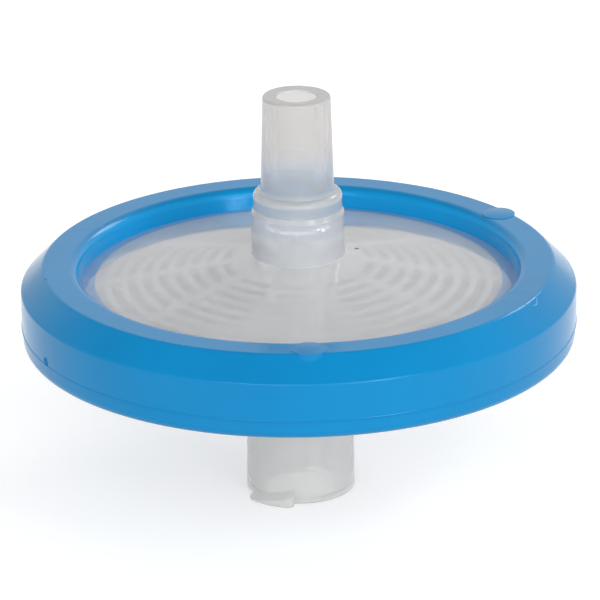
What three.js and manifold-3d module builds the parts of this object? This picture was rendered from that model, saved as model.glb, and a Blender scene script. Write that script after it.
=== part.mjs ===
import * as THREE from 'three';
import { mergeVertices } from 'three/addons/utils/BufferGeometryUtils.js';
import Module from 'manifold-3d';

// Disc syringe filter: two moulded housing halves with a membrane between them, held by a ring
// moulded over their edges. Millimetres. Z is the flow axis, and z = 0 is the rim of the inlet hub.

const wasm = await Module();
wasm.setup();

// Driving dimensions ------------------------------------------------------------------------
const FACETS = 60;               // round every revolved piece
const CONE = 0.171;              // rise of the disc faces per mm of radius

const RING = {
  radius: 16.5,                  // outer wall
  top: 14.35,
  bottom: 9.65,
  chamfer: 1.35,                 // 45 degree bevel from the flat top to the outer wall
  parting: 10.75,                // height of the mould's parting line
  partingStep: 0.08,             // the wall is this much smaller below it
  bottomRound: 0.5,
  bevelFootRound: 0.2,           // between the outer wall and the bevel
  bevelTopRound: 0.3,            // between the bevel and the flat top
  lipRound: 0.65,                // top inner edge
  lip: 12.85,                    // where the lips meet the housing faces
  lipDraft: 0.24,                // the recess is this much wider at the flat top
  grooveRadius: 14.65,
};

// Ejector marks that stand proud of the flat top; they reach out over the bevel.
const MARK = {
  angles: [-87.8, 32.2], radius: 1.0, pitchRadius: 14.45, height: 0.05, rooted: 0.5, sides: 24,
};
const GATE = { radius: 0.3, depth: 0.25, angle: -153, height: 11.0, sides: 12 };

const PLATE = {
  radius: 14.6,                  // rim inside the ring's groove
  outletLand: 13.12,             // flat faces that the ring's lips lie on
  inletLand: 10.6,
  seam: 11.9,                    // where the two halves meet
};

const MEMBRANE = { radius: 12.15, pocket: 12.2, thickness: 0.2 };

const CHAMBER = {
  outletRadius: 12.05,
  inletRadius: 11.6,             // leaves a seat under the membrane's edge
  roof: 12.3,                    // outlet side, at the outlet radius
  floor: 11.22,                  // inlet side, at the inlet radius
};

// Outlet side: concentric ribs, cut by radial channels. Inlet side: low radial spokes.
const RIB = { count: 9, outer: 11.7, pitch: 0.94, root: 0.46, tip: 0.36 };
const CHANNEL = { count: 10, width: 0.8, extraDepth: 0.12, inner: 1.3, cutBelowSeam: 1 };
const SPOKE = { count: 10, inner: 1.7, outer: 11.3, width: 0.5, gap: 0.2, sunk: 0.3 };

const OUTLET = {
  tip: 24.58,
  tipRadius: 2.0,
  taper: 0.03,                   // 6 % on the diameter
  taperFoot: 18.8,
  collarTop: 18.8,
  upperCollar: 2.635,
  lowerCollar: 2.75,
  stepTop: 17.75,
  stepBottom: 17.45,
  shoulderRound: 0.42,
  footRound: 0.12,
  tipRound: 0.08,
  boreTip: 1.18,
  boreFoot: 0.8,
  boreStep: 16.7,
  wellTop: 16.55,
  well: 1.25,
  sump: 1.6,                     // shallow round recess where the channels meet
  sumpDepth: 0.2,
};

const HUB = {
  radius: 3.27,                  // at the rim
  draft: 0.0165,                 // the wall narrows this much per mm upwards
  rimRound: 0.12,
  rootRound: 0.4,
  socket: 2.15,                  // female mouth
  socketDepth: 7.6,
  port: 0.8,
};

const LUG = {
  radius: 3.98,
  lead: 5,                       // right-handed thread, mm per turn
  starts: [-149, 31],            // degrees, thin end
  span: 52,
  thinHeight: 0.3,               // at the hub wall
  flankDrop: 0.38,               // the crest is this much lower than the root
  thinCrest: 0.12,               // least height of the crest
  rooted: 0.3,                   // reaches this far into the hub wall
  leadIn: 0.25,                  // share of the length over which it grows out of the wall
  thinReach: 0.1,                // share of the reach that it starts from
  bluntEnd: 0.1,                 // share of the length over which the far end draws in
  bluntReach: 0.6,               // share of the reach that is left there
  sections: 13,
};

// Profiles ----------------------------------------------------------------------------------
const point = (r, z) => new THREE.Vector2(r, z);
const { degToRad, radToDeg } = THREE.MathUtils;

// A corner rounded to a radius, between faces whose outward normals point at two angles in
// degrees. A negative radius fills an inside corner.
function rounded(r, z, radius, from, to, steps = 2) {
  const normals = [from, to].map((angle) => point(Math.cos(degToRad(angle)), Math.sin(degToRad(angle))));
  const reach = radius / (1 + normals[0].dot(normals[1]));
  const centre = point(r, z).addScaledVector(normals[0], -reach).addScaledVector(normals[1], -reach);
  return Array.from({ length: steps + 1 }, (_, step) => {
    const angle = degToRad(from + ((to - from) * step) / steps);
    return point(centre.x + radius * Math.cos(angle), centre.y + radius * Math.sin(angle));
  });
}

// Concentric support ribs hanging from the chamber's roof down to the membrane, innermost first.
function supportRibs(roofAt) {
  const radii = Array.from({ length: RIB.count }, (_, index) => RIB.outer - RIB.pitch * index);
  return radii.reverse().flatMap((radius) => [
    point(radius - RIB.root / 2, roofAt(radius - RIB.root / 2)),
    point(radius - RIB.tip / 2, PLATE.seam),
    point(radius + RIB.tip / 2, PLATE.seam),
    point(radius + RIB.root / 2, roofAt(radius + RIB.root / 2)),
  ]);
}

// Solids ------------------------------------------------------------------------------------
function solid(geometry) {
  geometry.deleteAttribute('normal');
  geometry.deleteAttribute('uv');
  const merged = mergeVertices(geometry);
  return new wasm.Manifold(new wasm.Mesh({
    numProp: 3,
    vertProperties: merged.getAttribute('position').array,
    triVerts: Uint32Array.from(merged.index.array),
  }));
}

function revolve(section) {
  return solid(new THREE.LatheGeometry([...section, section[0]], FACETS).rotateX(Math.PI / 2));
}

// Upright slabs of one width with an outline in the radius and height plane, spaced round the axis.
function radialSlabs(outline, width, count) {
  return Array.from({ length: count }, (_, index) => {
    const slab = new THREE.ExtrudeGeometry(new THREE.Shape(outline), { depth: width, bevelEnabled: false });
    slab.translate(0, 0, -width / 2).rotateX(Math.PI / 2);
    return solid(slab.rotateZ((2 * Math.PI * index) / count));
  });
}

function piece(name, body, colour, roughness) {
  const { vertProperties, triVerts } = body.getMesh();
  const geometry = new THREE.BufferGeometry();
  geometry.setAttribute('position', new THREE.BufferAttribute(vertProperties, 3));
  geometry.setIndex(new THREE.BufferAttribute(triVerts, 1));
  const material = new THREE.MeshStandardMaterial({
    color: colour, roughness, metalness: 0, flatShading: true,
  });
  const mesh = new THREE.Mesh(geometry, material);
  mesh.name = name;
  return mesh;
}

// Ring moulded over the edges of both halves --------------------------------------------------
function ringBody() {
  const { radius, top, bottom, chamfer, parting, partingStep, lip, lipDraft } = RING;
  const lowerRadius = radius - partingStep;
  const draftAngle = radToDeg(Math.atan2(lipDraft, top - PLATE.outletLand));
  return revolve([
    point(lip + lipDraft, bottom),
    ...rounded(lowerRadius, bottom, RING.bottomRound, -90, 0, 3),
    point(lowerRadius, parting),
    point(radius, parting + partingStep),
    ...rounded(radius, top - chamfer, RING.bevelFootRound, 0, 45),
    ...rounded(radius - chamfer, top, RING.bevelTopRound, 45, 90),
    ...rounded(lip + lipDraft, top, RING.lipRound, 90, 180 - draftAngle, 4),
    point(lip, PLATE.outletLand),
    point(RING.grooveRadius, PLATE.outletLand),
    point(RING.grooveRadius, PLATE.inletLand),
    point(lip, PLATE.inletLand),
  ]);
}

function ejectorMark(angle) {
  const depth = MARK.rooted + MARK.height;
  const mark = new THREE.CylinderGeometry(MARK.radius, MARK.radius, depth, MARK.sides).rotateX(Math.PI / 2);
  mark.translate(MARK.pitchRadius, 0, RING.top + MARK.height - depth / 2);
  return solid(mark.rotateZ(degToRad(angle)));
}

// Small pit that the gate left in the outer wall.
function gatePit() {
  const pit = new THREE.CylinderGeometry(GATE.radius, GATE.radius, 2 * GATE.depth, GATE.sides);
  pit.rotateZ(Math.PI / 2).translate(RING.radius, 0, GATE.height);
  return solid(pit.rotateZ(degToRad(GATE.angle)));
}

function overmouldRing() {
  const marks = MARK.angles.map(ejectorMark);
  return marks.reduce((joined, mark) => joined.add(mark), ringBody()).subtract(gatePit());
}

// Outlet half: conical disc, stepped collar and male slip tip ------------------------------------
function outletHousing() {
  const { tip, tipRadius, taper, taperFoot, upperCollar, lowerCollar, well, sump } = OUTLET;
  const roofAt = (r) => CHAMBER.roof + CONE * (CHAMBER.outletRadius - r);
  const coneAt = (r) => PLATE.outletLand + CONE * (RING.lip - r);
  const coneNormal = 90 - THREE.MathUtils.radToDeg(Math.atan(CONE));
  const body = revolve([
    point(CHAMBER.outletRadius, PLATE.seam),
    point(PLATE.radius, PLATE.seam),
    point(PLATE.radius, PLATE.outletLand),
    point(RING.lip, PLATE.outletLand),
    ...rounded(lowerCollar, coneAt(lowerCollar), -OUTLET.footRound, coneNormal, 0),
    point(lowerCollar, OUTLET.stepBottom),
    point(upperCollar, OUTLET.stepTop),
    ...rounded(upperCollar, OUTLET.collarTop, OUTLET.shoulderRound, 0, 90, 3),
    point(tipRadius + taper * (tip - taperFoot), taperFoot),
    ...rounded(tipRadius, tip, OUTLET.tipRound, 0, 90, 1),
    point(OUTLET.boreTip, tip),
    point(OUTLET.boreFoot, OUTLET.boreStep),
    point(well, OUTLET.wellTop),
    point(well, roofAt(sump) + OUTLET.sumpDepth),
    point(sump, roofAt(sump) + OUTLET.sumpDepth),
    point(sump, roofAt(sump)),
    ...supportRibs(roofAt),
    point(CHAMBER.outletRadius, CHAMBER.roof),
  ]);
  const cutFrom = PLATE.seam - CHANNEL.cutBelowSeam;
  const channels = radialSlabs([
    point(CHANNEL.inner, cutFrom),
    point(CHAMBER.outletRadius, cutFrom),
    point(CHAMBER.outletRadius, CHAMBER.roof + CHANNEL.extraDepth),
    point(CHANNEL.inner, roofAt(CHANNEL.inner) + CHANNEL.extraDepth),
  ], CHANNEL.width, CHANNEL.count);
  return channels.reduce((cut, channel) => cut.subtract(channel), body);
}

// Inlet half: conical disc and female lock hub ---------------------------------------------------
function inletHousing() {
  const floorAt = (r) => CHAMBER.floor - CONE * (CHAMBER.inletRadius - r);
  const coneAt = (r) => PLATE.inletLand - CONE * (RING.lip - r);
  const coneNormal = THREE.MathUtils.radToDeg(Math.atan(CONE)) - 90;
  const seat = PLATE.seam - MEMBRANE.thickness;
  const rootRadius = HUB.radius - HUB.draft * coneAt(HUB.radius);
  const body = revolve([
    point(HUB.socket, 0),
    ...rounded(HUB.radius, 0, HUB.rimRound, -90, 0),
    ...rounded(rootRadius, coneAt(rootRadius), -HUB.rootRound, 0, coneNormal),
    point(RING.lip, PLATE.inletLand),
    point(PLATE.radius, PLATE.inletLand),
    point(PLATE.radius, PLATE.seam),
    point(MEMBRANE.pocket, PLATE.seam),
    point(MEMBRANE.pocket, seat),
    point(CHAMBER.inletRadius, seat),
    point(CHAMBER.inletRadius, CHAMBER.floor),
    point(HUB.port, floorAt(HUB.port)),
    point(HUB.port, HUB.socketDepth),
    point(HUB.socket - OUTLET.taper * HUB.socketDepth, HUB.socketDepth),
  ]);
  const spokes = radialSlabs([
    point(SPOKE.inner, floorAt(SPOKE.inner) - SPOKE.sunk),
    point(SPOKE.outer, floorAt(SPOKE.outer) - SPOKE.sunk),
    point(SPOKE.outer, seat - SPOKE.gap),
    point(SPOKE.inner, seat - SPOKE.gap),
  ], SPOKE.width, SPOKE.count);
  const lugs = LUG.starts.map(threadLug);
  return [...spokes, ...lugs].reduce((joined, part) => joined.add(part), body);
}

// One length of the lock thread. Its underside is flush with the rim, and its upper flank follows
// the helix, so it thickens from a thin leading end to a blunt one.
function threadLug(startAngle) {
  const corners = [];
  const inner = HUB.radius - LUG.rooted;
  for (let step = 0; step < LUG.sections; step += 1) {
    const along = step / (LUG.sections - 1);
    const angle = degToRad(startAngle + LUG.span * along);
    const root = LUG.thinHeight + (LUG.lead * LUG.span * along) / 360;
    const crest = Math.max(root - LUG.flankDrop, LUG.thinCrest);
    const growing = LUG.thinReach + Math.sqrt(along / LUG.leadIn);
    const shrinking = LUG.bluntReach + (1 - LUG.bluntReach) * Math.sqrt((1 - along) / LUG.bluntEnd);
    const outer = HUB.radius + (LUG.radius - HUB.radius) * Math.min(1, growing, shrinking);
    for (const [r, z] of [[inner, 0], [outer, 0], [outer, crest], [inner, root]]) {
      corners.push(r * Math.cos(angle), r * Math.sin(angle), z);
    }
  }
  const faces = [0, 1, 2, 0, 2, 3];
  for (let step = 0; step < LUG.sections - 1; step += 1) {
    for (let side = 0; side < 4; side += 1) {
      const [a, b] = [4 * step + side, 4 * step + ((side + 1) % 4)];
      faces.push(a, b + 4, b, a, a + 4, b + 4);
    }
  }
  const last = 4 * (LUG.sections - 1);
  faces.push(last, last + 2, last + 1, last, last + 3, last + 2);
  const geometry = new THREE.BufferGeometry();
  geometry.setAttribute('position', new THREE.Float32BufferAttribute(corners, 3));
  geometry.setIndex(faces);
  return solid(geometry);
}

// Membrane ----------------------------------------------------------------------------------
function membraneDisc() {
  const disc = new THREE.CylinderGeometry(MEMBRANE.radius, MEMBRANE.radius, MEMBRANE.thickness, FACETS);
  return solid(disc.rotateX(Math.PI / 2).translate(0, 0, PLATE.seam - MEMBRANE.thickness / 2));
}

// Assembly ----------------------------------------------------------------------------------
const filter = new THREE.Group();
filter.add(
  piece('overmould_ring', overmouldRing(), '#1f92d2', 0.35),
  piece('outlet_housing', outletHousing(), '#dadde0', 0.25),
  piece('inlet_housing', inletHousing(), '#d3d6d9', 0.25),
  piece('membrane', membraneDisc(), '#f2f1ec', 0.9),
);

export default filter;
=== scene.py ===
# Disc syringe filter: two translucent housing halves with a white membrane between them, and a
# blue ring moulded over their edges. Sizes are in millimetres and become metres when a mesh is
# made. Z is the flow axis, and z = 0 is the rim of the inlet hub.
import math

import bmesh
import bpy
from mathutils import Matrix, Vector


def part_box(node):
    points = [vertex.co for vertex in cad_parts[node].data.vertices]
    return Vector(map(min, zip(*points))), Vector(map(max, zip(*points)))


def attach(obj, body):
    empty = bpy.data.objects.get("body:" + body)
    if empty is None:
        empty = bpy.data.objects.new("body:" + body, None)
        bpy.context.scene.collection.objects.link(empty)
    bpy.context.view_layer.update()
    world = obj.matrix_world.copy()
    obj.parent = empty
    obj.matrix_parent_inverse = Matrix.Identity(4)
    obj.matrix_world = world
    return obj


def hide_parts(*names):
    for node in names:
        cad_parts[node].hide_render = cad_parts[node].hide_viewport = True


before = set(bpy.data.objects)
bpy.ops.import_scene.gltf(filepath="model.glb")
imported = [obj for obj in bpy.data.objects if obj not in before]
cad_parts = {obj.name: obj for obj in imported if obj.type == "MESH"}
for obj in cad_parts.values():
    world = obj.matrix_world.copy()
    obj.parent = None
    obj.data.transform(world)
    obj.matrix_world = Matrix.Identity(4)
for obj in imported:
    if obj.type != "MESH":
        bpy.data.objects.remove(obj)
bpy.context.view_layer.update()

MM = 0.001
SEGMENTS = 256                    # round every turned piece
SHARP_EDGE = 32                   # edges that turn more than these degrees are shaded sharp
SEAM_MERGE = 0.001                # closes a turned piece's seam and pole
DOUBLE_MERGE = 0.0005             # merges the doubles that joining and cutting leave


def box_mm(node):
    """Lowest and highest corners of a CAD node."""
    low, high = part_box(node)
    return low / MM, high / MM


ring_low, ring_high = box_mm("overmould_ring")
outlet_low, outlet_high = box_mm("outlet_housing")
membrane_low, membrane_high = box_mm("membrane")

# Ejector marks on the ring's flat top. Two stand proud, the rest show as a fine line. Angles are
# in degrees, from +X towards +Y.
MARK_RADIUS = 1.0
MARK_CIRCLE = 14.45               # radius that their middles lie on
MARK_HEIGHT = 0.05
MARK_ROOTED = 0.5                 # how far a proud one reaches into the ring
MARK_EDGE = 0.02                  # rounding of its top edge
MARK_SIDES = 64
MARK_COUNT = 6
MARK_FIRST = -87.8
MARK_LINE = 0.06                  # the fine line fades over this width
PROUD_ANGLES = (-87.8, 32.2)

# Ring
RING_RADIUS = ring_high.x
RING_TOP = ring_high.z - MARK_HEIGHT
RING_BOTTOM = ring_low.z
BEVEL = 1.35
EDGE_ROUND = 0.2
BEVEL_ROUND = 0.3                 # between the flat top and the bevel
LIP_ROUND = 0.65                  # top inner edge
BOTTOM_ROUND = 0.5
PARTING = 10.75                   # height of the parting line
PARTING_STEP = 0.08               # the wall is this much smaller below it
WITNESS = 0.03                    # the line itself stands this proud of the wall above it
WITNESS_HEIGHT = 0.04             # it rises, runs level and falls over this height each
LIP = 12.85                       # where the lips meet the housing faces
LIP_DRAFT = 0.24                  # the recess is this much wider at the flat top
GROOVE = 14.65                    # bottom of the groove that holds the housing
GATE_RADIUS = 0.3                 # ball that dents the wall
GATE_PROUD = 0.05                 # its middle is this far outside the wall
GATE_ANGLE = -153
GATE_HEIGHT = 11.0
NICK_RADIUS = 0.11                # balls that dent the bevel's upper edge
NICK_PROUD = 0.03                 # their middles are this far above the flat top
NICK_CIRCLE = 15.1
NICK_ANGLES = (-121.0, -115.3, -169.5)

# Both housing halves
CONE = 0.171                      # rise of the disc faces per mm of radius
PLATE = outlet_high.x             # rim inside the ring's groove
SEAM = outlet_low.z               # where the halves meet
OUTLET_LAND = 13.12               # flats that the ring's lips grip
INLET_LAND = 10.6
CHAMBER = 12.05                   # outlet side: its radius, and the roof's height there
ROOF = 12.3
INLET_CHAMBER = 11.6              # inlet side: its radius, and the floor's height there
FLOOR = 11.22
TAPER = 0.03                      # a luer's change of radius per mm

# Membrane and its seat
MEMBRANE_RADIUS = membrane_high.x
MEMBRANE_UNDERSIDE = membrane_low.z
POCKET = 12.2

# Outlet half: support ribs, radial channels, collar, tip and bore
RIB_COUNT = 9
RIB_OUTER = 11.7                  # radius of the outermost one's middle
RIB_PITCH = 0.94
RIB_ROOT = 0.46                   # width under the roof
RIB_TIP = 0.36                    # width at the membrane
RIB_ROUND = 0.08
CHANNEL_COUNT = 10
CHANNEL_WIDTH = 0.8
CHANNEL_INNER = 1.3
CHANNEL_DEPTH = 0.12              # above the roof
CHANNEL_BELOW = 1                 # how far the cutter starts below the seam
LOWER_COLLAR = 2.75
UPPER_COLLAR = 2.635
COLLAR_TOP = 18.8
COLLAR_FOOT_FILL = 0.05
SHOULDER_ROUND = 0.42
STEP_TOP = 17.75
STEP_BOTTOM = 17.45
STEP_ROUND = 0.1
STEP_SLOPE = 21                   # degrees from upright
TIP = outlet_high.z
TIP_RADIUS = 2.0
TIP_ROUND = 0.1
TIP_FOOT_FILL = 0.06
BORE_TIP = 1.18
BORE_FOOT = 1.1
BORE_STEP = 16.7                  # height where the bore widens into the well
BORE_ROUND = 0.08
BORE_FOOT_ROUND = 0.06
WELL = 1.25
WELL_SLOPE = 0.15                 # height of the step's slanted face
SUMP = 1.6
SUMP_DEPTH = 0.2
SPECK = (3.47, 0.89, 14.7)
SPECK_RADIUS = 0.15
SKIN = 0.15                       # faces deeper than this are inside ones

# Inlet half: floor spokes, hub, socket and lock thread
SPOKE_COUNT = 10
SPOKE_INNER = 1.7
SPOKE_OUTER = 11.3
SPOKE_WIDTH = 0.5
SPOKE_GAP = 0.2                   # below the membrane
SPOKE_SUNK = 0.3                  # below the floor
HUB_RADIUS = 3.27                 # at the rim
HUB_DRAFT = 0.0165
HUB_ROOT_FILL = 0.4
HUB_RIM_ROUND = 0.12
SOCKET = 2.15
SOCKET_DEPTH = 7.6
SOCKET_ROUND = 0.1
PORT = 0.8
LUG_COUNT = 2
LUG_FIRST = -149
LUG_SPAN = 52                     # degrees that one runs round the hub
LUG_SECTIONS = 40
LUG_RADIUS = 3.98
LUG_ROOTED = 0.3                  # how far it reaches into the hub
LUG_LEAD = 5.0                    # rise per turn
LUG_THIN = 0.3                    # height of its root at the thin end
LUG_FLANK = 0.38                  # the crest is this much lower than the root
LUG_LOWEST_CREST = 0.14
LUG_ROUND = 0.1
LUG_FLANK_NORMAL = 65             # degrees above level that the upper flank faces
LUG_START = 0.1                   # share of its full radius at the thin end
LUG_RISE = 0.25                   # share of its length over which it rises to its full radius
LUG_FALL = 0.1                    # share of its length over which it falls to the blunt end
LUG_BLUNT = 0.6                   # share of its full radius that is left there


# Node trees ----------------------------------------------------------------------------------
def add_node(tree, kind, links=None, **settings):
    """Adds a node with its settings. Each input in links takes a node's first output, an output
    socket or a plain value."""
    node = tree.nodes.new(kind)
    for name, value in settings.items():
        setattr(node, name, value)
    for socket, value in (links or {}).items():
        if isinstance(value, bpy.types.Node):
            value = value.outputs[0]
        if isinstance(value, bpy.types.NodeSocket):
            tree.links.new(value, node.inputs[socket])
        else:
            node.inputs[socket].default_value = value
    return node


def new_shape_tree(name, inputs):
    """Geometry node tree with named inputs. Returns it and the sockets that its inputs give."""
    tree = bpy.data.node_groups.new(name, "GeometryNodeTree")
    for label, kind in inputs.items():
        tree.interface.new_socket(name=label, in_out="INPUT", socket_type="NodeSocket" + kind)
    tree.interface.new_socket(name="Geometry", in_out="OUTPUT", socket_type="NodeSocketGeometry")
    return tree, add_node(tree, "NodeGroupInput").outputs


def turned_tree():
    """Turns a profile, a chain of points in the XZ plane, once round the Z axis."""
    tree, given = new_shape_tree("turned profile", {"Profile": "Geometry", "Segments": "Int"})
    size = add_node(
        tree, "GeometryNodeAttributeDomainSize", {"Geometry": given["Profile"]}, component="MESH"
    )
    count = size.outputs["Point Count"]
    columns = add_node(
        tree, "FunctionNodeIntegerMath", {0: given["Segments"], 1: 1}, operation="ADD"
    )
    grid = add_node(tree, "GeometryNodeMeshGrid", {"Vertices X": columns, "Vertices Y": count})
    index = add_node(tree, "GeometryNodeInputIndex")
    row = add_node(tree, "FunctionNodeIntegerMath", {0: index, 1: count}, operation="MODULO")
    column = add_node(
        tree, "FunctionNodeIntegerMath", {0: index, 1: count}, operation="DIVIDE_FLOOR"
    )
    share = add_node(tree, "ShaderNodeMath", {0: column, 1: given["Segments"]}, operation="DIVIDE")
    angle = add_node(tree, "ShaderNodeMath", {0: share, 1: math.tau}, operation="MULTIPLY")
    position = add_node(tree, "GeometryNodeInputPosition")
    place = add_node(
        tree,
        "GeometryNodeSampleIndex",
        {"Geometry": given["Profile"], "Value": position, "Index": row},
        data_type="FLOAT_VECTOR",
    )
    turned = add_node(
        tree, "ShaderNodeVectorRotate", {"Vector": place, "Angle": angle}, rotation_type="Z_AXIS"
    )
    surface = add_node(
        tree, "GeometryNodeSetPosition", {"Geometry": grid.outputs["Mesh"], "Position": turned}
    )
    closed = add_node(
        tree, "GeometryNodeMergeByDistance", {"Geometry": surface, "Distance": SEAM_MERGE * MM}
    )
    add_node(tree, "NodeGroupOutput", {0: closed})
    return tree


def spaced_tree():
    """Copies of an object round the Z axis."""
    tree, given = new_shape_tree(
        "copies round the axis", {"Object": "Object", "Count": "Int", "First Angle": "Float"}
    )
    points = add_node(tree, "GeometryNodePoints", {"Count": given["Count"]})
    index = add_node(tree, "GeometryNodeInputIndex")
    share = add_node(tree, "ShaderNodeMath", {0: index, 1: given["Count"]}, operation="DIVIDE")
    angle = add_node(
        tree,
        "ShaderNodeMath",
        {0: share, 1: math.tau, 2: given["First Angle"]},
        operation="MULTIPLY_ADD",
    )
    euler = add_node(tree, "ShaderNodeCombineXYZ", {"Z": angle})
    rotation = add_node(tree, "FunctionNodeEulerToRotation", {0: euler})
    original = add_node(tree, "GeometryNodeObjectInfo", {"Object": given["Object"]})
    copies = add_node(
        tree,
        "GeometryNodeInstanceOnPoints",
        {"Points": points, "Instance": original.outputs["Geometry"], "Rotation": rotation},
    )
    real = add_node(tree, "GeometryNodeRealizeInstances", {0: copies})
    add_node(tree, "NodeGroupOutput", {0: real})
    return tree


TURNED = turned_tree()
SPACED = spaced_tree()


def piece_tree(name, features):
    """A turned profile, with features spaced round it that are joined on or cut away."""
    inputs = {"Profile": "Geometry", "Segments": "Int", "Material": "Material"}
    for label in features:
        inputs |= {label: "Object", label + " Count": "Int", label + " First Angle": "Float"}
    tree, given = new_shape_tree(name, inputs)
    shape = add_node(
        tree,
        "GeometryNodeGroup",
        {"Profile": given["Profile"], "Segments": given["Segments"]},
        node_tree=TURNED,
    )
    for label, operation in features.items():
        copies = add_node(
            tree,
            "GeometryNodeGroup",
            {
                "Object": given[label],
                "Count": given[label + " Count"],
                "First Angle": given[label + " First Angle"],
            },
            node_tree=SPACED,
        )
        joined = add_node(tree, "GeometryNodeMeshBoolean", operation=operation, solver="EXACT")
        body_input = "Mesh 1" if operation == "DIFFERENCE" else "Mesh 2"
        tree.links.new(shape.outputs[0], joined.inputs[body_input])
        tree.links.new(copies.outputs[0], joined.inputs["Mesh 2"])
        shape = joined
    real = add_node(tree, "GeometryNodeRealizeInstances", {0: shape})
    finished = add_node(
        tree, "GeometryNodeSetMaterial", {"Geometry": real, "Material": given["Material"]}
    )
    add_node(tree, "NodeGroupOutput", {0: finished})
    return tree


# Shapes --------------------------------------------------------------------------------------
def point(r, z):
    return Vector((r, z))


def round_place(radius, angle, z):
    """Place at a radius, an angle in degrees and a height."""
    angle = math.radians(angle)
    return radius * math.cos(angle), radius * math.sin(angle), z


def rounded(r, z, radius, start, end, steps=6):
    """A corner rounded between faces whose outward normals point at two angles in degrees. A
    negative radius fills an inside corner."""
    angles = [math.radians(start + (end - start) * step / steps) for step in range(steps + 1)]
    normals = [point(math.cos(angle), math.sin(angle)) for angle in angles]
    reach = radius / (1 + normals[0].dot(normals[-1]))
    centre = point(r, z) - reach * (normals[0] + normals[-1])
    return [centre + radius * normal for normal in normals]


def held(section, near=0.03):
    """Adds points near both ends of every long side, so that its shading stays flat between them."""
    outline = []
    for start, end in zip(section, section[1:] + section[:1]):
        outline.append(start)
        step = (end - start).normalized() * near
        if (end - start).length > 4 * near:
            outline += [start + step, end - step]
    return outline


def object_from(name, mesh):
    made = bpy.data.objects.new(name, mesh)
    bpy.context.scene.collection.objects.link(made)
    return made


def object_from_shape(name, shape):
    """Object made from a bmesh, which it frees."""
    mesh = bpy.data.meshes.new(name)
    shape.to_mesh(mesh)
    shape.free()
    return object_from(name, mesh)


def close_up(mesh):
    """Merges doubles, points the faces outwards and shades all but the sharp edges smooth."""
    shape = bmesh.new()
    shape.from_mesh(mesh)
    bmesh.ops.remove_doubles(shape, verts=shape.verts, dist=DOUBLE_MERGE * MM)
    bmesh.ops.recalc_face_normals(shape, faces=shape.faces)
    shape.to_mesh(mesh)
    shape.free()
    mesh.shade_smooth()
    mesh.set_sharp_from_angle(angle=math.radians(SHARP_EDGE))


def turned_piece(name, section, material, features=None):
    """Object made from a closed section turned round Z. A feature is its object, how many of them,
    the first one's angle in degrees and whether it is joined on or cut away."""
    features = features or {}
    outline = held(section)
    profile = bpy.data.meshes.new(name + "_profile")
    chain = [(p.x * MM, 0, p.y * MM) for p in outline + outline[:1]]
    profile.from_pydata(chain, [(i, i + 1) for i in range(len(chain) - 1)], [])
    made = object_from(name, profile)
    tree = piece_tree(name + " shape", {label: feature[3] for label, feature in features.items()})
    settings = {"Segments": SEGMENTS, "Material": material}
    for label, (shape, count, first, _) in features.items():
        settings |= {label: shape, label + " Count": count}
        settings[label + " First Angle"] = math.radians(first)
    modifier = made.modifiers.new("shape", "NODES")
    modifier.node_group = tree
    for item in tree.interface.items_tree:
        if item.in_out == "INPUT" and item.name in settings:
            modifier[item.identifier] = settings[item.name]
    evaluated = made.evaluated_get(bpy.context.evaluated_depsgraph_get())
    mesh = bpy.data.meshes.new_from_object(evaluated)
    made.modifiers.clear()
    made.data = mesh
    mesh.name = name
    mesh.materials.clear()
    mesh.materials.append(material)
    mesh.polygons.foreach_set("material_index", [0] * len(mesh.polygons))
    close_up(mesh)
    return made


def line_inside(piece, material, inside):
    """Gives a second material to the faces whose middle, at a radius and height, lies inside."""
    piece.data.materials.append(material)
    for face in piece.data.polygons:
        middle = face.center / MM
        if inside(math.hypot(middle.x, middle.y), middle.z):
            face.material_index = 1


def join_rings(shape, rings):
    """Side faces between each ring of points and the next, and a face across both ends."""
    for lower, upper in zip(rings, rings[1:]):
        for i in range(len(lower)):
            j = (i + 1) % len(lower)
            shape.faces.new((lower[i], lower[j], upper[j], upper[i]))
    shape.faces.new(rings[0][::-1])
    shape.faces.new(rings[-1])


def slab(name, outline, width):
    """Upright slab with an outline in the radius and height plane."""
    shape = bmesh.new()
    sides = []
    for y in (-width / 2, width / 2):
        sides.append([shape.verts.new((p.x * MM, y * MM, p.y * MM)) for p in outline])
    join_rings(shape, sides)
    bmesh.ops.recalc_face_normals(shape, faces=shape.faces)
    return object_from_shape(name, shape)


def balls(name, places, radius):
    """Small balls to cut dents with."""
    shape = bmesh.new()
    for place in places:
        bmesh.ops.create_icosphere(
            shape,
            subdivisions=3,
            radius=radius * MM,
            matrix=Matrix.Translation(Vector(place) * MM),
        )
    return object_from_shape(name, shape)


def discs(name, angles, bottom, top):
    """Upright discs of the ejector marks' size and place, with a softened top edge."""
    shape = bmesh.new()
    upright = [point(MARK_RADIUS, bottom), *rounded(MARK_RADIUS, top, MARK_EDGE, 0, 90, 3)]
    for angle in angles:
        x, y, _ = round_place(MARK_CIRCLE, angle, 0)
        rings = []
        for p in upright:
            turn = [round_place(p.x, 360 * side / MARK_SIDES, p.y) for side in range(MARK_SIDES)]
            rings.append([shape.verts.new(Vector((x + u, y + v, z)) * MM) for u, v, z in turn])
        join_rings(shape, rings)
    return object_from_shape(name, shape)


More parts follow.
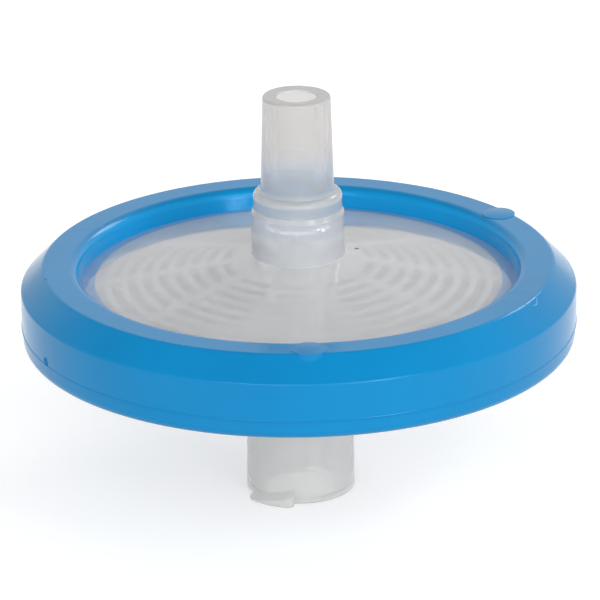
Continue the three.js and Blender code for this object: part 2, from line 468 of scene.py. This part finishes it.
# Ring ----------------------------------------------------------------------------------------
def overmould_ring(material):
    lower = RING_RADIUS - PARTING_STEP
    upper = RING_RADIUS - WITNESS
    recess = LIP + LIP_DRAFT
    draft_angle = math.degrees(math.atan2(LIP_DRAFT, RING_TOP - OUTLET_LAND))
    section = [
        *rounded(recess, RING_BOTTOM, EDGE_ROUND, -180, -90),
        *rounded(lower, RING_BOTTOM, BOTTOM_ROUND, -90, 0, 10),
        point(lower, PARTING),
        point(RING_RADIUS, PARTING + WITNESS_HEIGHT),
        point(RING_RADIUS, PARTING + 2 * WITNESS_HEIGHT),
        point(upper, PARTING + 3 * WITNESS_HEIGHT),
        *rounded(upper, RING_TOP - BEVEL, EDGE_ROUND, 0, 45, 4),
        *rounded(upper - BEVEL, RING_TOP, BEVEL_ROUND, 45, 90, 6),
        *rounded(recess, RING_TOP, LIP_ROUND, 90, 180 - draft_angle, 14),
        point(LIP, OUTLET_LAND),
        point(GROOVE, OUTLET_LAND),
        point(GROOVE, INLET_LAND),
        point(LIP, INLET_LAND),
    ]
    marks = discs("proud_marks", PROUD_ANGLES, RING_TOP - MARK_ROOTED, RING_TOP + MARK_HEIGHT)
    gate = round_place(RING_RADIUS + GATE_PROUD, GATE_ANGLE, GATE_HEIGHT)
    nicks = [round_place(NICK_CIRCLE, angle, RING_TOP + NICK_PROUD) for angle in NICK_ANGLES]
    features = {
        "Proud Mark": (marks, 1, 0, "UNION"),
        "Gate Pit": (balls("gate_pit", [gate], GATE_RADIUS), 1, 0, "DIFFERENCE"),
        "Edge Nick": (balls("edge_nicks", nicks, NICK_RADIUS), 1, 0, "DIFFERENCE"),
    }
    return turned_piece("moulded_ring", section, material, features)


# Housing halves --------------------------------------------------------------------------------
def roof_at(r):
    return ROOF + CONE * (CHAMBER - r)


def support_ribs():
    """Profile of the concentric ribs under the roof, innermost first."""
    outline = []
    for index in reversed(range(RIB_COUNT)):
        middle = RIB_OUTER - RIB_PITCH * index
        inner = middle - RIB_ROOT / 2
        outer = middle + RIB_ROOT / 2
        outline += [
            *rounded(inner, roof_at(inner), -RIB_ROUND, -100, -180, 3),
            *rounded(middle - RIB_TIP / 2, SEAM, RIB_ROUND, -180, -90, 3),
            *rounded(middle + RIB_TIP / 2, SEAM, RIB_ROUND, -90, 0, 3),
            *rounded(outer, roof_at(outer), -RIB_ROUND, 0, -80, 3),
        ]
    return outline


def outlet_half(material, inner_material):
    def outer_face(r):
        return OUTLET_LAND + CONE * (LIP - r)

    cone_foot = outer_face(LOWER_COLLAR)
    cone_normal = 90 - math.degrees(math.atan(CONE))
    taper_foot = TIP_RADIUS + TAPER * (TIP - COLLAR_TOP)
    sump_roof = roof_at(SUMP) + SUMP_DEPTH
    section = [
        point(CHAMBER, SEAM),
        point(PLATE, SEAM),
        point(PLATE, OUTLET_LAND),
        point(LIP, OUTLET_LAND),
        point(CHAMBER, outer_face(CHAMBER)),
        *rounded(LOWER_COLLAR, cone_foot, -COLLAR_FOOT_FILL, cone_normal, 0),
        *rounded(LOWER_COLLAR, STEP_BOTTOM, STEP_ROUND, 0, STEP_SLOPE, 2),
        point(UPPER_COLLAR, STEP_TOP),
        *rounded(UPPER_COLLAR, COLLAR_TOP, SHOULDER_ROUND, 0, 90, 8),
        *rounded(taper_foot, COLLAR_TOP, -TIP_FOOT_FILL, 90, 0, 3),
        *rounded(TIP_RADIUS, TIP, TIP_ROUND, 0, 90, 4),
        *rounded(BORE_TIP, TIP, BORE_ROUND, 90, 180, 4),
        *rounded(BORE_FOOT, BORE_STEP, BORE_FOOT_ROUND, 180, 255, 3),
        point(WELL, BORE_STEP - WELL_SLOPE),
        point(WELL, sump_roof),
        point(SUMP, sump_roof),
        point(SUMP, roof_at(SUMP)),
        *support_ribs(),
        point(CHAMBER, ROOF),
    ]
    channel_outline = [
        point(CHANNEL_INNER, SEAM - CHANNEL_BELOW),
        point(CHAMBER, SEAM - CHANNEL_BELOW),
        point(CHAMBER, ROOF + CHANNEL_DEPTH),
        point(CHANNEL_INNER, roof_at(CHANNEL_INNER) + CHANNEL_DEPTH),
    ]
    channel = slab("radial_channel", channel_outline, CHANNEL_WIDTH)
    features = {"Radial Channel": (channel, CHANNEL_COUNT, 0, "DIFFERENCE")}
    piece = turned_piece("outlet_half", section, material, features)

    def inside(r, z):
        in_bore = r < WELL + SKIN and z < TIP - SKIN
        return r > LIP or z < outer_face(r) - SKIN or in_bore

    line_inside(piece, inner_material, inside)
    return piece


def thread_lug():
    """One length of the lock thread. Its underside is flush with the rim and its upper flank
    follows the helix, so it thickens from a thin end to a blunt one."""
    shape = bmesh.new()
    inner = HUB_RADIUS - LUG_ROOTED
    rings = []
    for step in range(LUG_SECTIONS + 1):
        along = step / LUG_SECTIONS
        angle = LUG_SPAN * along
        root = LUG_THIN + LUG_LEAD * angle / 360
        crest = max(root - LUG_FLANK, LUG_LOWEST_CREST)
        rise = min(1, LUG_START + math.sqrt(along / LUG_RISE))
        fall = min(1, LUG_BLUNT + (1 - LUG_BLUNT) * math.sqrt((1 - along) / LUG_FALL))
        outer = HUB_RADIUS + (LUG_RADIUS - HUB_RADIUS) * min(rise, fall)
        bend = min(LUG_ROUND, 0.45 * crest, outer - HUB_RADIUS + 0.02)
        outline = [
            point(inner, 0),
            *rounded(outer, 0, bend, -90, 0, 3),
            *rounded(outer, crest, bend, 0, LUG_FLANK_NORMAL, 3),
            point(inner, root),
        ]
        places = [round_place(p.x, angle, p.y) for p in outline]
        rings.append([shape.verts.new(Vector(place) * MM) for place in places])
    join_rings(shape, rings)
    bmesh.ops.recalc_face_normals(shape, faces=shape.faces)
    return object_from_shape("thread_lug", shape)


def inlet_half(material, inner_material):
    def floor_at(r):
        return FLOOR - CONE * (INLET_CHAMBER - r)

    def outer_face(r):
        return INLET_LAND - CONE * (LIP - r)

    cone_normal = math.degrees(math.atan(CONE)) - 90
    hub_root = HUB_RADIUS - HUB_DRAFT * outer_face(HUB_RADIUS)
    section = [
        *rounded(SOCKET, 0, SOCKET_ROUND, -180, -90, 4),
        *rounded(HUB_RADIUS, 0, HUB_RIM_ROUND, -90, 0, 4),
        *rounded(hub_root, outer_face(hub_root), -HUB_ROOT_FILL, 0, cone_normal),
        point(LIP, INLET_LAND),
        point(PLATE, INLET_LAND),
        point(PLATE, SEAM),
        point(POCKET, SEAM),
        point(POCKET, MEMBRANE_UNDERSIDE),
        point(INLET_CHAMBER, MEMBRANE_UNDERSIDE),
        point(INLET_CHAMBER, FLOOR),
        point(PORT, floor_at(PORT)),
        point(PORT, SOCKET_DEPTH),
        point(SOCKET - TAPER * SOCKET_DEPTH, SOCKET_DEPTH),
    ]
    spoke_outline = [
        point(SPOKE_INNER, floor_at(SPOKE_INNER) - SPOKE_SUNK),
        point(SPOKE_OUTER, floor_at(SPOKE_OUTER) - SPOKE_SUNK),
        point(SPOKE_OUTER, MEMBRANE_UNDERSIDE - SPOKE_GAP),
        point(SPOKE_INNER, MEMBRANE_UNDERSIDE - SPOKE_GAP),
    ]
    spoke = slab("floor_spoke", spoke_outline, SPOKE_WIDTH)
    features = {
        "Floor Spoke": (spoke, SPOKE_COUNT, 0, "UNION"),
        "Thread Lug": (thread_lug(), LUG_COUNT, LUG_FIRST, "UNION"),
    }
    piece = turned_piece("inlet_half", section, material, features)

    def inside(r, z):
        in_socket = r < SOCKET + SKIN and z > SKIN
        return r > LIP or z > outer_face(r) + 2 * SKIN or in_socket

    line_inside(piece, inner_material, inside)
    return piece


def filter_membrane(material):
    section = [
        point(0, MEMBRANE_UNDERSIDE),
        point(MEMBRANE_RADIUS, MEMBRANE_UNDERSIDE),
        point(MEMBRANE_RADIUS, SEAM),
        point(0, SEAM),
    ]
    return turned_piece("filter_membrane", section, material)


# Materials -------------------------------------------------------------------------------------
NOISE_LOW = 0.3                   # most of a noise's values lie between these
NOISE_HIGH = 0.7
RELIEF = 0.02 * MM                # depth of the fine relief in every surface
POLYPROPYLENE_IOR = 1.49


def linear(colour):
    """Linear RGBA from an sRGB hex value."""
    values = [int(colour[i:i + 2], 16) / 255 for i in (1, 3, 5)]
    return tuple(v / 12.92 if v <= 0.04045 else ((v + 0.055) / 1.055) ** 2.4 for v in values) + (1.0,)


def new_material(name):
    """Empty material with Object coordinates in millimetres. Returns it, its tree and those."""
    material = bpy.data.materials.new(name)
    material.use_nodes = True
    tree = material.node_tree
    tree.nodes.clear()
    coordinates = add_node(tree, "ShaderNodeTexCoord")
    in_mm = add_node(
        tree, "ShaderNodeMapping", {"Vector": coordinates.outputs["Object"], "Scale": (1 / MM,) * 3}
    )
    return material, tree, in_mm.outputs[0]


def mottled(tree, place, width, detail, tints):
    """Noise with patches of a width, and the colour that goes from one tint to the other with it."""
    noise = add_node(
        tree, "ShaderNodeTexNoise", {"Vector": place, "Scale": 1 / width, "Detail": detail}
    ).outputs["Fac"]
    colour = add_node(tree, "ShaderNodeValToRGB", {0: noise})
    for element, position, tint in zip(colour.color_ramp.elements, (NOISE_LOW, NOISE_HIGH), tints):
        element.position = position
        element.color = linear(tint)
    return noise, colour.outputs["Color"]


def tool_finish(tree, place, width, strength):
    """Normal of the relief that the moulding tool leaves, with marks of a width."""
    marks = add_node(
        tree, "ShaderNodeTexNoise", {"Vector": place, "Scale": 1 / width, "Detail": 2.0}
    )
    bump = add_node(
        tree,
        "ShaderNodeBump",
        {"Height": marks.outputs["Fac"], "Strength": strength, "Distance": RELIEF},
    )
    return bump.outputs[0]


def radius_of(tree, place):
    """Distance from the Z axis."""
    flat = add_node(tree, "ShaderNodeVectorMath", {0: place, 1: (1, 1, 0)}, operation="MULTIPLY")
    return add_node(tree, "ShaderNodeVectorMath", {0: flat}, operation="LENGTH").outputs["Value"]


def mark_line(tree, place):
    """1 on the fine ring round each ejector mark and 0 away from it."""
    axes = add_node(tree, "ShaderNodeSeparateXYZ", {0: place}).outputs
    pitch = math.tau / MARK_COUNT
    first = math.radians(MARK_FIRST)
    # turns each place back to the nearest mark's angle, so that one mark on +X stands for all
    angle = add_node(tree, "ShaderNodeMath", {0: axes["Y"], 1: axes["X"]}, operation="ARCTAN2")
    past_first = add_node(tree, "ShaderNodeMath", {0: angle, 1: first}, operation="SUBTRACT")
    pitches = add_node(tree, "ShaderNodeMath", {0: past_first, 1: pitch}, operation="DIVIDE")
    whole = add_node(tree, "ShaderNodeMath", {0: pitches}, operation="ROUND")
    nearest = add_node(
        tree, "ShaderNodeMath", {0: whole, 1: pitch, 2: first}, operation="MULTIPLY_ADD"
    )
    back = add_node(tree, "ShaderNodeMath", {0: nearest, 1: -1}, operation="MULTIPLY")
    folded = add_node(
        tree, "ShaderNodeVectorRotate", {"Vector": place, "Angle": back}, rotation_type="Z_AXIS"
    )
    flat = add_node(tree, "ShaderNodeVectorMath", {0: folded, 1: (1, 1, 0)}, operation="MULTIPLY")
    away = add_node(
        tree, "ShaderNodeVectorMath", {0: flat, 1: (MARK_CIRCLE, 0, 0)}, operation="DISTANCE"
    ).outputs["Value"]
    past_edge = add_node(tree, "ShaderNodeMath", {0: away, 1: MARK_RADIUS}, operation="SUBTRACT")
    off = add_node(tree, "ShaderNodeMath", {0: past_edge}, operation="ABSOLUTE")
    return add_node(
        tree,
        "ShaderNodeMapRange",
        {"Value": off, "From Min": 0.0, "From Max": MARK_LINE, "To Min": 1.0, "To Max": 0.0},
        interpolation_type="SMOOTHSTEP",
    )


def blue_polypropylene():
    # Pigmented polypropylene, injection moulded in a polished tool: an even saturated blue, with a
    # soft gloss that the faint flow marks and handling scuffs break up.
    flow_width = 6.25
    scuff_width = 1.4286
    finish_width = 0.4167         # about 0.1 mm on the real ring, drawn this coarse so that it shows
    lip_glow_full = LIP + 0.25
    lip_glow_none = LIP + 0.45
    material, tree, place = new_material("polypropylene, pigmented blue, moulded")
    _, tint = mottled(tree, place, flow_width, 3.0, ("#037fb9", "#0485c0"))
    # painted light: the inner lip's wall is tinted a lighter blue, so that it looks more brightly lit
    painted_lip_glow = add_node(
        tree,
        "ShaderNodeMapRange",
        {"Value": radius_of(tree, place), "From Min": lip_glow_none, "From Max": lip_glow_full},
        interpolation_type="SMOOTHSTEP",
    )
    colour = add_node(
        tree, "ShaderNodeMix", {0: painted_lip_glow, 6: tint, 7: linear("#0394d5")}, data_type="RGBA"
    ).outputs[2]
    scuffs = add_node(
        tree, "ShaderNodeTexNoise", {"Vector": place, "Scale": 1 / scuff_width, "Detail": 4.0}
    )
    gloss = add_node(
        tree,
        "ShaderNodeMapRange",
        {
            "Value": scuffs.outputs["Fac"],
            "From Min": NOISE_LOW,
            "From Max": NOISE_HIGH,
            "To Min": 0.13,
            "To Max": 0.19,
        },
    )
    # a raised hairline round each ejector mark, over the tool's finish
    bump = add_node(
        tree,
        "ShaderNodeBump",
        {
            "Height": mark_line(tree, place),
            "Strength": 0.5,
            "Distance": RELIEF,
            "Normal": tool_finish(tree, place, finish_width, 0.012),
        },
    )
    shader = add_node(
        tree,
        "ShaderNodeBsdfPrincipled",
        {
            "Base Color": colour,
            "Roughness": gloss,
            "Normal": bump,
            "IOR": POLYPROPYLENE_IOR,
            "Specular IOR Level": 0.4,
            "Specular Tint": linear("#b4dcfa"),
        },
    )
    add_node(tree, "ShaderNodeOutputMaterial", {"Surface": shader})
    return material


def natural_polypropylene(name, clear, gloss_range, tints, bands=(), rim_reflection=None, specked=False):
    # Unpigmented polypropylene, injection moulded: milky and see-through, with a soft gloss. Its
    # crystals scatter part of the light in the skin and let the rest through to what lies behind.
    haze_width = 2.0
    finish_width = 1 / 3          # about 0.1 mm on the real one, drawn this coarse so that it shows
    material, tree, place = new_material(name)
    haze, colour = mottled(tree, place, haze_width, 3.0, tints)
    through = clear
    gloss = add_node(
        tree,
        "ShaderNodeMapRange",
        {
            "Value": haze,
            "From Min": NOISE_LOW,
            "From Max": NOISE_HIGH,
            "To Min": gloss_range[0],
            "To Max": gloss_range[1],
        },
        interpolation_type="SMOOTHSTEP",
    )
    # the walls differ in thickness, so each band of height has its own tint, clarity and gloss; the
    # darker tints of the collar's step and shoulder are painted shade
    height = add_node(tree, "ShaderNodeSeparateXYZ", {0: place}).outputs["Z"]
    zones = [(height, *band) for band in bands]
    if rim_reflection:
        # painted reflection: the clear rim beyond the membrane is tinted blue, standing in for the
        # ring's blue reflected in it
        zones.append((radius_of(tree, place), CHAMBER - 0.05, CHAMBER + 0.1, *rim_reflection, None))
    if specked:
        # one opaque black grain moulded into the face, with a soft edge
        away = add_node(tree, "ShaderNodeVectorMath", {0: place, 1: SPECK}, operation="DISTANCE")
        outer = 1.25 * SPECK_RADIUS
        inner = 0.75 * SPECK_RADIUS
        zones.append((away.outputs["Value"], outer, inner, "#151413", 0.0, None))
    for value, start, end, zone_tint, zone_clear, zone_gloss in zones:
        share = add_node(
            tree,
            "ShaderNodeMapRange",
            {"Value": value, "From Min": start, "From Max": end},
            interpolation_type="SMOOTHSTEP",
        )
        colour = add_node(
            tree, "ShaderNodeMix", {0: share, 6: colour, 7: linear(zone_tint)}, data_type="RGBA"
        ).outputs[2]
        through = add_node(tree, "ShaderNodeMix", {0: share, 2: through, 3: zone_clear})
        if zone_gloss is not None:
            gloss = add_node(tree, "ShaderNodeMix", {0: share, 2: gloss, 3: zone_gloss})
    shader = add_node(
        tree,
        "ShaderNodeBsdfPrincipled",
        {
            "Base Color": colour,
            "Roughness": gloss,
            "Normal": tool_finish(tree, place, finish_width, 0.02),
            "IOR": POLYPROPYLENE_IOR,
            "Transmission Weight": through,
        },
    )
    add_node(tree, "ShaderNodeOutputMaterial", {"Surface": shader})
    return material


def membrane_white():
    # Cast microporous polymer membrane: matt white, with faint darker rings under the support ribs
    # that are painted shade. Its pores are far below a micron, drawn coarse so that the mottle shows.
    pore_width = 1 / 3
    half_ring = 0.5 * RIB_TIP / RIB_PITCH
    ring_edge = 0.06              # this and the half ring are in shares of the ribs' pitch
    material, tree, place = new_material("microporous membrane, cast, white")
    pores, tint = mottled(tree, place, pore_width, 4.0, ("#ebebec", "#f2f2f2"))
    radius = radius_of(tree, place)
    inwards = add_node(tree, "ShaderNodeMath", {0: RIB_OUTER, 1: radius}, operation="SUBTRACT")
    pitches = add_node(tree, "ShaderNodeMath", {0: inwards, 1: RIB_PITCH}, operation="DIVIDE")
    nearest = add_node(tree, "ShaderNodeMath", {0: pitches}, operation="ROUND")
    past_rib = add_node(tree, "ShaderNodeMath", {0: pitches, 1: nearest}, operation="SUBTRACT")
    off = add_node(tree, "ShaderNodeMath", {0: past_rib}, operation="ABSOLUTE")
    ring = add_node(
        tree,
        "ShaderNodeMapRange",
        {
            "Value": off,
            "From Min": half_ring - ring_edge,
            "From Max": half_ring + ring_edge,
            "To Min": 1.0,
            "To Max": 0.0,
        },
        interpolation_type="SMOOTHSTEP",
    )
    under_ribs = add_node(
        tree, "ShaderNodeMath", {0: pitches, 1: RIB_COUNT - 0.5}, operation="LESS_THAN"
    )
    # painted shade: darker rings where the ribs rest on the membrane
    painted_rib_shade = add_node(tree, "ShaderNodeMath", {0: ring, 1: under_ribs}, operation="MULTIPLY")
    colour = add_node(
        tree, "ShaderNodeMix", {0: painted_rib_shade, 6: tint, 7: linear("#c4c6ca")}, data_type="RGBA"
    ).outputs[2]
    bump = add_node(
        tree, "ShaderNodeBump", {"Height": pores, "Strength": 0.1, "Distance": RELIEF}
    )
    shader = add_node(
        tree,
        "ShaderNodeBsdfPrincipled",
        {"Base Color": colour, "Roughness": 0.9, "Normal": bump, "IOR": 1.45},
    )
    add_node(tree, "ShaderNodeOutputMaterial", {"Surface": shader})
    return material


# Stage -----------------------------------------------------------------------------------------
def white_floor():
    """Pale floor that the object stands on, seen as white but for the object's soft shadow."""
    half = 1.5
    lift = 0.42                   # what brings the lit board to white
    corners = [(-half, -half, 0), (half, -half, 0), (half, half, 0), (-half, half, 0)]
    floor = object_from("floor", bpy.data.meshes.new("floor"))
    floor.data.from_pydata(corners, [], [(0, 1, 2, 3)])
    material = bpy.data.materials.new("white board")
    material.use_nodes = True
    tree = material.node_tree
    tree.nodes.clear()
    path = add_node(tree, "ShaderNodeLightPath").outputs
    direct = add_node(
        tree,
        "ShaderNodeMath",
        {0: path["Is Camera Ray"], 1: path["Is Glossy Ray"]},
        operation="MAXIMUM",
    )
    seen = add_node(
        tree, "ShaderNodeMath", {0: direct, 1: path["Is Transmission Ray"]}, operation="MAXIMUM"
    )
    board = add_node(tree, "ShaderNodeBsdfDiffuse", {"Color": linear("#e8e8e8")})
    strength = add_node(tree, "ShaderNodeMath", {0: seen, 1: lift}, operation="MULTIPLY")
    glow = add_node(
        tree, "ShaderNodeEmission", {"Color": linear("#ffffff"), "Strength": strength}
    )
    both = add_node(tree, "ShaderNodeAddShader", {0: board, 1: glow})
    add_node(tree, "ShaderNodeOutputMaterial", {"Surface": both})
    floor.data.materials.append(material)


def studio_world():
    """Even light from all round, dim overhead and brightest in front. The camera sees white."""
    back, side, front = 1.0, 0.8, 1.35
    overhead = 0.45
    horizon = 0.82
    left_lean = -0.18             # at the left it dims lower down
    world = bpy.data.worlds.new("white studio")
    world.use_nodes = True
    tree = world.node_tree
    tree.nodes.clear()
    coordinates = add_node(tree, "ShaderNodeTexCoord")
    axes = add_node(tree, "ShaderNodeSeparateXYZ", {0: coordinates.outputs["Generated"]}).outputs
    # a parabola in Y through the levels in front, at the sides and at the back
    bend = (front + back) / 2 - side
    lean = (back - front) / 2
    slope = add_node(
        tree, "ShaderNodeMath", {0: axes["Y"], 1: bend, 2: lean}, operation="MULTIPLY_ADD"
    )
    round_about = add_node(
        tree, "ShaderNodeMath", {0: axes["Y"], 1: slope, 2: side}, operation="MULTIPLY_ADD"
    )
    height = add_node(
        tree,
        "ShaderNodeMath",
        {0: axes["X"], 1: left_lean, 2: axes["Z"]},
        operation="MULTIPLY_ADD",
    )
    dimmed_high = add_node(
        tree,
        "ShaderNodeMapRange",
        {"Value": height, "From Min": 0.45, "From Max": 0.85, "To Min": 1.0, "To Max": overhead},
        interpolation_type="SMOOTHSTEP",
    )
    dimmed_low = add_node(
        tree,
        "ShaderNodeMapRange",
        {"Value": axes["Z"], "From Min": 0.0, "From Max": 0.3, "To Min": horizon, "To Max": 1.0},
        interpolation_type="SMOOTHSTEP",
    )
    rise = add_node(
        tree, "ShaderNodeMath", {0: dimmed_high, 1: dimmed_low}, operation="MULTIPLY"
    )
    level = add_node(tree, "ShaderNodeMath", {0: rise, 1: round_about}, operation="MULTIPLY")
    path = add_node(tree, "ShaderNodeLightPath").outputs
    seen = add_node(
        tree,
        "ShaderNodeMath",
        {0: path["Is Camera Ray"], 1: path["Is Transmission Ray"]},
        operation="MAXIMUM",
    )
    strength = add_node(tree, "ShaderNodeMath", {0: level, 1: seen}, operation="MAXIMUM")
    light = add_node(
        tree, "ShaderNodeBackground", {"Color": linear("#ffffff"), "Strength": strength}
    )
    add_node(tree, "ShaderNodeOutputWorld", {"Surface": light})
    bpy.context.scene.world = world


def softbox(name, azimuth, elevation, width, height, radiance):
    """Rectangular lamp facing the object, azimuth from +X towards +Y. Sizes in metres."""
    distance = 0.5
    target = Vector((0, 0, 13 * MM))
    lamp = bpy.data.lights.new(name, "AREA")
    lamp.shape = "RECTANGLE"
    lamp.size = width
    lamp.size_y = height
    lamp.energy = radiance * math.pi * width * height
    made = object_from(name, lamp)
    a = math.radians(azimuth)
    e = math.radians(elevation)
    direction = Vector((math.cos(a) * math.cos(e), math.sin(a) * math.cos(e), math.sin(e)))
    made.location = target + direction * distance
    made.rotation_euler = direction.to_track_quat("Z", "Y").to_euler()
    made.visible_camera = False


def product_camera():
    """Long lens, looking down on the disc."""
    place = Vector((0.0703, -233.577, 100.926)) * MM
    down = math.radians(20.883)
    roll = -0.01192               # radians
    camera = bpy.data.cameras.new("camera")
    camera.lens = 252.3
    camera.sensor_width = 36
    camera.clip_start = 0.01
    camera.clip_end = 10
    made = object_from("camera", camera)
    forward = Vector((0, math.cos(down), -math.sin(down)))
    level_up = Vector((0, math.sin(down), math.cos(down)))
    right = Vector((math.cos(roll), 0, 0)) + math.sin(roll) * level_up
    turn = Matrix((right, right.cross(forward), -forward)).transposed().to_4x4()
    made.matrix_world = Matrix.Translation(place) @ turn
    bpy.context.scene.camera = made


# Assembly --------------------------------------------------------------------------------------
product_camera()
studio_world()
white_floor()
softbox("front right softbox", -62, 22, 0.22, 0.36, 1.6)
softbox("small front right softbox", -57, 15, 0.09, 0.09, 9.0)
softbox("high front right softbox", -52, 43, 0.16, 0.06, 6.0)
softbox("back right softbox", 48, 34, 0.20, 0.11, 5.0)
softbox("front softbox", -105, 34, 0.26, 0.26, 2.4)

# Each finish has how clear it is, its range of gloss and its tints. A band is the two heights
# that it fades in between, its tint, how clear and its gloss. The rim is its tint, a painted blue
# reflection of the ring, and how clear.
outlet_skin = natural_polypropylene(
    "polypropylene, natural, outlet skin",
    0.5,
    (0.07, 0.11),
    ("#ecedef", "#f2f3f5"),
    bands=(
        (14.75, 15.0, "#eceff2", 0.44, 0.24),
        (16.2, 16.7, "#eef1f4", 0.54, 0.12),
        # painted shade: this darker tint dims the bright reflection on the collar's step
        (17.4, 17.45, "#dee3e7", 0.55, 0.2),
        # painted shade: this darker tint dims the lit shoulder of the collar
        (17.7, 17.8, "#e0e5e9", 0.57, 0.14),
        (18.7, 19.2, "#e6e9ec", 0.7, 0.18),
        (19.4, 22.0, "#dcd9d7", 0.72, 0.2),
        (24.45, 24.55, "#d8d6d4", 0.4, 0.15),
    ),
    rim_reflection=("#9fc4f0", 0.4),
    specked=True,
)
inlet_skin = natural_polypropylene(
    "polypropylene, natural, inlet skin", 0.5, (0.06, 0.1), ("#e9e8e6", "#efeeed")
)
clear_inside = natural_polypropylene(
    "polypropylene, natural, inside faces",
    0.98,
    (0.04, 0.06),
    ("#fafafa", "#fdfdfd"),
    bands=((9.5, 10.5, "#fafafa", 0.68, 0.05), (14.75, 15.0, "#fafafa", 0.95, 0.15)),
)
pieces = {
    "overmould_ring": (overmould_ring(blue_polypropylene()), "blue_polypropylene"),
    "outlet_housing": (outlet_half(outlet_skin, clear_inside), "natural_polypropylene"),
    "inlet_housing": (inlet_half(inlet_skin, clear_inside), "natural_polypropylene_inlet"),
    "membrane": (filter_membrane(membrane_white()), "white_membrane"),
}
for helper in ("proud_marks", "gate_pit", "edge_nicks", "radial_channel", "floor_spoke", "thread_lug"):
    bpy.data.objects.remove(bpy.data.objects[helper])
for node, (piece, finish) in pieces.items():
    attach(piece, "root")
    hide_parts(node)

bpy.context.scene.view_settings.view_transform = "Standard"
